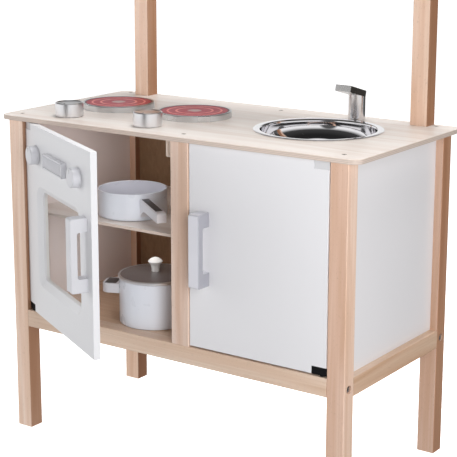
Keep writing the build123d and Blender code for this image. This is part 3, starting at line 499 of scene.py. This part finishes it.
def lathe(profile, segments):
    """A closed solid turned round Z from (radius, height) points that start and end on the axis."""
    made = bmesh.new()
    angles = [2 * math.pi * step / segments for step in range(segments)]
    rings = []
    for radius, height in profile:
        if radius < TOUCHING:
            rings.append([made.verts.new((0, 0, height))])
        else:
            rings.append([made.verts.new((radius * math.cos(a), radius * math.sin(a), height))
                          for a in angles])
    for lower, upper in zip(rings, rings[1:]):
        for step in range(segments):
            after = (step + 1) % segments
            corners = [lower[step % len(lower)], lower[after % len(lower)],
                       upper[after % len(upper)], upper[step % len(upper)]]
            unique = list(dict.fromkeys(corners))
            if len(unique) > 2:
                made.faces.new(unique)
    return made


def rounded_block(low, high, radius, segments=3, sharp_y=None):
    """A box with rounded edges, apart from the edges of its face at sharp_y."""
    made = bmesh.new()
    bmesh.ops.create_cube(made, size=1.0)
    low, high = Vector(low), Vector(high)
    for vertex in made.verts:
        vertex.co = Vector((low[i] + (vertex.co[i] + 0.5) * (high[i] - low[i]) for i in range(3)))

    def stays_sharp(edge):
        return sharp_y is not None and all(abs(vertex.co.y - sharp_y) < TOUCHING for vertex in edge.verts)

    edges = [edge for edge in made.edges if not stays_sharp(edge)]
    bmesh.ops.bevel(made, geom=edges, offset=radius, segments=segments, profile=0.5, affect="EDGES")
    return made


def joined(*sources):
    """Several bmeshes as one."""
    made = bmesh.new()
    for source in sources:
        mesh = bpy.data.meshes.new("joining")
        source.to_mesh(mesh)
        source.free()
        made.from_mesh(mesh)
        bpy.data.meshes.remove(mesh)
    return made


def moved(source, matrix):
    bmesh.ops.transform(source, matrix=matrix, verts=source.verts)
    return source


def arc(centre_r, centre_z, radius, start, end, steps=6):
    """Points on an arc of a profile, angles in degrees from the outward direction."""
    angles = [math.radians(start + (end - start) * step / steps) for step in range(steps + 1)]
    return [(centre_r + radius * math.cos(a), centre_z + radius * math.sin(a)) for a in angles]


# ---------------------------------------------------------------- knobs
SPINDLE_BORE = 0.0032           # radius of the hole for a spindle
FINE_EDGE = 0.0003              # radius on the edges of pointer lines, ribs and inlays


def make_knob(node, turned, line, place, metal):
    """The turned knob that stands for a CAD node, and the pointer line on its face."""
    knob = piece(f"{node}_turned", moved(turned, place), node, metal)
    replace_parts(knob, node)
    piece(f"{node}_line", moved(line, place), node, moulded_grey)


def make_hob_knobs():
    """Knobs with a narrower foot and a bright rounded rim round a dished top."""
    rim, foot_in, half_line = 0.0018, 0.0004, 0.0008
    for side in SIDES:
        node = f"hob_knob_{side}"
        foot, size = foot_of(node), size_of(node)
        r, h = size.x / 2, size.z
        bore_end = h * 0.45
        bore = [(0.0, bore_end), (SPINDLE_BORE, bore_end), (SPINDLE_BORE, 0)]
        narrow_foot = [(r - 0.0012, 0), (r - foot_in, 0.0006), (r - foot_in, 0.0022), (r, 0.0027)]
        rounded_rim = arc(r - rim, h - rim, rim, 0, 90)
        dish = [(r - 0.0028, h - 0.0002), (r - 0.0034, h - 0.0010), (r * 0.55, h - 0.0017),
                (0.0, h - 0.0020)]
        turned = lathe(bore + narrow_foot + rounded_rim + dish, segments=128)
        line = rounded_block((-half_line, -r * 0.86, h - 0.0017), (half_line, -r * 0.45, h - 0.0008),
                             FINE_EDGE)
        metal = turned_metal(f"knob_metal_{side}", foot, (0.93, 0.93, 0.95), roughness=0.27)
        make_knob(node, turned, line, Matrix.Translation(foot), metal)


def door_matrix(x, z, front_y):
    """Carries a shape that stands up along Z to the front of the oven door, pointing out of it."""
    upright = Matrix.Rotation(math.radians(90), 4, "X")
    return DOOR_PLACE @ Matrix.Translation((x, front_y, z)) @ upright


def make_oven_knobs():
    """Knobs with a stepped skirt and a softly domed face."""
    shoulder, skirt_step, half_line = 0.0022, 0.0009, 0.0009
    for side in SIDES:
        node = f"oven_knob_{side}"
        low, high = closed_box(node)
        r, h = (high.x - low.x) / 2, high.y - low.y
        cap_r, bore_end = r - skirt_step, h * 0.5
        bore = [(0.0, bore_end), (SPINDLE_BORE, bore_end), (SPINDLE_BORE, 0)]
        skirt = [(r, 0), (r, 0.0014), (cap_r, 0.0022), (cap_r, 0.0030)]
        rounded_shoulder = arc(cap_r - shoulder, h - 0.0006 - shoulder, shoulder, 0, 80)
        dome = [(r * 0.6, h - 0.0002), (0.0, h)]
        turned = lathe(bore + skirt + rounded_shoulder + dome, segments=96)
        line = rounded_block((-half_line, r * 0.40, h - 0.0010), (half_line, r * 0.80, h - 0.0001),
                             FINE_EDGE)
        place = door_matrix((low.x + high.x) / 2, (low.z + high.z) / 2, high.y)
        make_knob(node, turned, line, place, pearl)


# ---------------------------------------------------------------- clock
def make_clock():
    """The clock block: a bevelled case with a sunk face of fine upright ribs."""
    low, high = closed_box("oven_clock")
    bezel, sunk, case_edge, bezel_edge = 0.0030, 0.0012, 0.0009, 0.0008
    face_y = low.y + sunk
    case = rounded_block((low.x, face_y, low.z), high, case_edge, sharp_y=high.y)
    bezel_spans = [
        (low.x, high.x, high.z - bezel, high.z),
        (low.x, high.x, low.z, low.z + bezel),
        (low.x, low.x + bezel, low.z, high.z),
        (high.x - bezel, high.x, low.z, high.z),
    ]
    bezel_bars = [rounded_block((x0, low.y, z0), (x1, face_y + sunk, z1), bezel_edge)
                  for x0, x1, z0, z1 in bezel_spans]
    body = moved(joined(case, *bezel_bars), DOOR_PLACE)
    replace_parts(piece("clock_case", body, "oven_door", pearl), "oven_clock")

    rib_count, rib_margin = 21, 0.0010
    pitch = (high.x - low.x - 2 * bezel) / rib_count
    rib_width, rib_gap = pitch * 0.6, pitch * 0.2
    rib_front, rib_back = low.y + 0.0003, face_y + 0.0004
    ribs = []
    for step in range(rib_count):
        x0 = low.x + bezel + pitch * step + rib_gap
        ribs.append(rounded_block((x0, rib_front, low.z + bezel + rib_margin),
                                  (x0 + rib_width, rib_back, high.z - bezel - rib_margin),
                                  FINE_EDGE, segments=2))
    piece("clock_ribs", moved(joined(*ribs), DOOR_PLACE), "oven_door", pearl)


# ---------------------------------------------------------------- sink
def make_sink():
    """A spun bowl with a flat flange and a rolled edge, and a strainer in its floor."""
    low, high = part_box("sink_bowl")
    place = Matrix.Translation(axis_of("sink_bowl"))
    rim_r, top, floor = (high.x - low.x) / 2, high.z, low.z
    sheet, flange, floor_r = 0.0010, 0.0112, 0.042
    edge, lip = 0.0005, 0.0014              # radii of the rolled edge and of the bend into the bowl
    wall_gap = 0.0002                       # the walls stop this far short of the flange and the bend
    bowl_r, flange_under, mouth_z = rim_r - flange, top - sheet, top - 0.0006
    belly_r = bowl_r - (bowl_r - floor_r) * 0.22
    belly_z = top - (flange_under - floor) * 0.66
    drain_r, drain_z = 0.0145, floor + sheet * 0.4

    def wall(inset, lift, steps=34):
        """A smooth curve through the bowl's mouth, its belly and the edge of its floor."""
        start = Vector((bowl_r - inset, mouth_z))
        belly = Vector((belly_r - inset, belly_z + lift))
        end = Vector((floor_r - inset * 0.4, floor + sheet * 0.1 + lift))
        control = belly * 2 - (start + end) / 2
        points = []
        for step in range(steps + 1):
            t = step / steps
            point = start * (1 - t) ** 2 + control * 2 * t * (1 - t) + end * t ** 2
            points.append((point.x, point.y))
        return points

    under_floor = [(0.0, floor), (floor_r, floor)]
    outside = [(r, z) for r, z in reversed(wall(0, 0)) if z < flange_under - wall_gap]
    under_flange = [(bowl_r, flange_under), (rim_r - 0.0006, flange_under)]
    rolled_edge = arc(rim_r - edge, top - edge, edge, -90, 90)
    bend = arc(bowl_r + 0.0012, top - lip, lip, 90, 150, steps=4)
    inside = [(r, z) for r, z in wall(sheet, sheet) if z < top - lip - wall_gap]
    drain = [(drain_r + 0.0015, floor + sheet), (drain_r, drain_z), (0.0, drain_z)]
    profile = under_floor + outside + under_flange + rolled_edge + bend + inside + drain
    steel = turned_metal("spun_steel", axis_of("sink_bowl"), (0.88, 0.87, 0.89), roughness=0.05)
    spun = moved(lathe(profile, segments=192), place)
    basin = piece("sink_basin", spun, "sink_bowl", steel, smooth_angle=60.0)
    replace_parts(basin, "sink_bowl")

    bar_reach, half_bar, bar_edge = 0.0150, 0.0010, 0.0002
    bars = []
    for degrees in (0, 60, 120):
        bar = rounded_block((-bar_reach, -half_bar, drain_z), (bar_reach, half_bar, floor + sheet),
                            bar_edge, segments=2)
        bars.append(moved(bar, Matrix.Rotation(math.radians(degrees), 4, "Z")))
    piece("sink_strainer", moved(joined(*bars), place), "sink_bowl", zinc)


# ---------------------------------------------------------------- inlays of the cookware's handles
INLAY_SUNK = 0.0006


def radial_frame(centre, angle):
    """A frame on an upright axis, with its X pointing away from the axis at an angle."""
    return Matrix.Translation(centre) @ Matrix.Rotation(angle, 4, "Z")


def make_pan_inlay():
    """The dark strip let into the sloping top of the pan's handle."""
    from_pan, from_end, tip, width_share, proud = 0.004, 0.012, 0.002, 0.74, 0.0004
    away = centre_of("pan_handle") - centre_of("pan")
    handle_frame = radial_frame(axis_of("pan"), math.atan2(away.y, away.x))
    to_handle = handle_frame.inverted()
    points = [to_handle @ vertex.co for vertex in nodes["pan_handle"].data.vertices]
    near, far = size_of("pan").x / 2, max(point.x for point in points)
    half_width = max(point.y for point in points) * width_share
    top_near = max(point.z for point in points)
    top_far = max(point.z for point in points if point.x > far - tip)
    slope = math.atan2(top_near - top_far, far - near)
    start, end = near + from_pan, far - from_end
    start_z = top_near - (start - near) * math.tan(slope)
    length = (end - start) / math.cos(slope)
    strip = rounded_block((0, -half_width, -INLAY_SUNK), (length, half_width, proud), FINE_EDGE)
    place = handle_frame @ Matrix.Translation((start, 0, start_z)) @ Matrix.Rotation(slope, 4, "Y")
    piece("pan_handle_strip", moved(strip, place), "pan", inlay_dark)


def make_pot_inlays():
    """The dark plates let into the tops of the pot's two handles, with round outer corners."""
    from_pot, from_end, half_width, proud = 0.0035, 0.0050, 0.0165, 0.0003
    corner, tip, thin, end_zone = 0.0085, 0.0004, 0.0002, 0.0012
    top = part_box("pot_handles")[1].z
    middle = axis_of("pot")
    points = [vertex.co for vertex in nodes["pot_handles"].data.vertices]
    around = [Vector((point.x, point.y, 0)) - middle for point in points]
    farthest = max(point.length for point in around)
    right_tip = [point for point in around if point.length > farthest - tip and point.x > 0]
    angle = math.atan2(sum(point.y for point in right_tip), sum(point.x for point in right_tip))
    outwards = Vector((math.cos(angle), math.sin(angle), 0))
    near = size_of("pot").x / 2 + from_pot
    far = max(point.dot(outwards) for point in around) - from_end
    for end, turn in (("right", 0), ("left", math.pi)):
        plate = rounded_block((near, -half_width, top - INLAY_SUNK), (far, half_width, top + proud),
                              FINE_EDGE)
        outer_corners = [edge for edge in plate.edges
                         if abs(edge.verts[0].co.z - edge.verts[1].co.z) > thin
                         and min(vertex.co.x for vertex in edge.verts) > far - end_zone]
        bmesh.ops.bevel(plate, geom=outer_corners, offset=corner, segments=8, profile=0.5, affect="EDGES")
        placed = moved(plate, radial_frame(middle, angle + turn))
        piece(f"pot_handle_plate_{end}", placed, "pot", inlay_dark)


make_hob_knobs()
make_oven_knobs()
make_clock()
make_sink()
make_pan_inlay()
make_pot_inlays()


# ---------------------------------------------------------------- floor, light and camera
FLOOR_SIZE = 60.0
FLOOR_DROP = 0.0004             # the floor lies just under the feet
FLOOR_GLOW = 1.0

WORLD_STRENGTH = 0.92
# Brightness by how high a ray points, from 0 straight down to 1 straight up.
WORLD_UP = ((0.0, 0.50), (0.25, 0.60), (0.36, 1.0), (0.60, 1.0), (0.68, 0.06), (0.86, 0.02), (0.95, 0.02),
            (0.965, 1.0))
# Directions in which the world is dark, each with how wide the dark is.
WORLD_DARK = (((0.19, -0.98, 0.0), 0.015), ((0.50, 0.86, 0.0), 0.05))
DARK_LEVEL = 0.10

# Each lamp's place, the point that it is turned to, its width and height, and its power in watts.
# The last two hang inside the oven.
LAMPS = {
    "fill": ((1.9, -2.9, 0.9), (0.0, 0.0, 0.40), 1.4, 1.4, 5),
    "left": ((-2.6, -1.3, 1.2), (-0.2, -0.1, 0.40), 1.0, 1.4, 22),
    "side": ((1.1, -0.9, 0.75), (0.34, -0.14, 0.40), 0.5, 1.0, 10.5),
    "top": ((0.15, 0.5, 2.3), (0.05, 0.1, 0.5), 1.4, 1.0, 38),
    "over_the_pan": ((-0.14, -0.02, 0.552), (-0.17, 0.10, 0.40), 0.20, 0.04, 0.09),
    "over_the_pot": ((-0.14, -0.03, 0.380), (-0.16, 0.08, 0.22), 0.20, 0.04, 0.07),
}

# Metres and degrees; the lens and the sensor are in millimetres.
CAMERA_PLACE = (1.3761, -1.8808, 0.9793)
CAMERA_YAW = 34.937
CAMERA_PITCH = 12.540
CAMERA_ROLL = 0.088
CAMERA_LENS = 112.25
CAMERA_SHIFT_X = 0.0
CAMERA_SHIFT_Y = -0.08
CAMERA_SENSOR = 36.0


def make_floor():
    """A wide plain pale floor that glows, so that it hardly takes a shadow."""
    made = bmesh.new()
    bmesh.ops.create_grid(made, x_segments=2, y_segments=2, size=FLOOR_SIZE)
    mesh = bpy.data.meshes.new("floor")
    made.to_mesh(mesh)
    made.free()
    floor = bpy.data.objects.new("floor", mesh)
    floor.location.z = -FLOOR_DROP
    bpy.context.scene.collection.objects.link(floor)
    paper = Shading("floor_paper", specular=0.1, base_roughness=0.9)
    grain = paper.noise(paper.place(), scale=3, detail=2)
    paper.colour(paper.mix(grain, (0.92, 0.92, 0.92), (0.90, 0.90, 0.90)))
    paper.shader.inputs["Emission Color"].default_value = (1, 1, 1, 1)
    paper.shader.inputs["Emission Strength"].default_value = FLOOR_GLOW
    mesh.materials.append(paper.material)
    floor.visible_diffuse = floor.visible_glossy = False


def soft_light(name, place, target, width, height, power):
    """A soft box that neither the camera nor the metal sees: the world alone is mirrored."""
    light = bpy.data.lights.new(name, "AREA")
    light.shape = "RECTANGLE"
    light.size, light.size_y = width, height
    light.energy = power
    holder = bpy.data.objects.new(name, light)
    holder.location = place
    holder.visible_glossy = holder.visible_camera = False
    holder.rotation_euler = (Vector(target) - Vector(place)).to_track_quat("-Z", "Y").to_euler()
    bpy.context.scene.collection.objects.link(holder)


def make_world():
    """A white horizon, dark overhead and in a few directions, for the metal to mirror."""
    world = bpy.data.worlds.new("studio")
    world.use_nodes = True
    bpy.context.scene.world = world
    tree = world.node_tree
    point = tree.nodes.new("ShaderNodeTexCoord").outputs["Generated"]

    def levels(stops, direction, brightness):
        """Grey levels by how far the view points in a direction, times a brightness."""
        towards = tree.nodes.new("ShaderNodeVectorMath")
        towards.operation = "DOT_PRODUCT"
        towards.inputs[1].default_value = direction
        lifted = tree.nodes.new("ShaderNodeMapRange")
        lifted.inputs["From Min"].default_value = -1.0
        graded = tree.nodes.new("ShaderNodeValToRGB")
        scaled = tree.nodes.new("ShaderNodeMath")
        scaled.operation = "MULTIPLY"
        tree.links.new(point, towards.inputs[0])
        tree.links.new(towards.outputs["Value"], lifted.inputs["Value"])
        tree.links.new(lifted.outputs["Result"], graded.inputs["Fac"])
        tree.links.new(graded.outputs["Color"], scaled.inputs[0])
        tree.links.new(brightness, scaled.inputs[1])
        elements = graded.color_ramp.elements
        while len(elements) < len(stops):
            elements.new(1.0)
        for element, (position, level) in zip(elements, stops):
            element.position = position
            element.color = (level, level, level, 1)
        return scaled.outputs["Value"]

    strength = tree.nodes.new("ShaderNodeValue")
    strength.outputs["Value"].default_value = WORLD_STRENGTH
    brightness = levels(WORLD_UP, (0, 0, 1), strength.outputs["Value"])
    for direction, width in WORLD_DARK:
        darkened = ((1 - 2 * width, 1.0), (1 - width, DARK_LEVEL))
        brightness = levels(darkened, direction, brightness)
    background = tree.nodes["Background"]
    background.inputs["Color"].default_value = (1, 1, 1, 1)
    tree.links.new(brightness, background.inputs["Strength"])


def make_camera():
    """A long lens that looks a little down on the kitchen, from its front right."""
    data = bpy.data.cameras.new("camera")
    data.sensor_width = CAMERA_SENSOR
    data.lens = CAMERA_LENS
    data.shift_x, data.shift_y = CAMERA_SHIFT_X, CAMERA_SHIFT_Y
    camera = bpy.data.objects.new("camera", data)
    turned = (Matrix.Rotation(math.radians(CAMERA_YAW), 4, "Z")
              @ Matrix.Rotation(math.radians(90 - CAMERA_PITCH), 4, "X")
              @ Matrix.Rotation(math.radians(CAMERA_ROLL), 4, "Z"))
    camera.matrix_world = Matrix.Translation(CAMERA_PLACE) @ turned
    bpy.context.scene.collection.objects.link(camera)
    bpy.context.scene.camera = camera


bpy.context.scene.view_settings.view_transform = "Standard"
make_world()
make_floor()
for name, settings in LAMPS.items():
    soft_light(name, *settings)
make_camera()
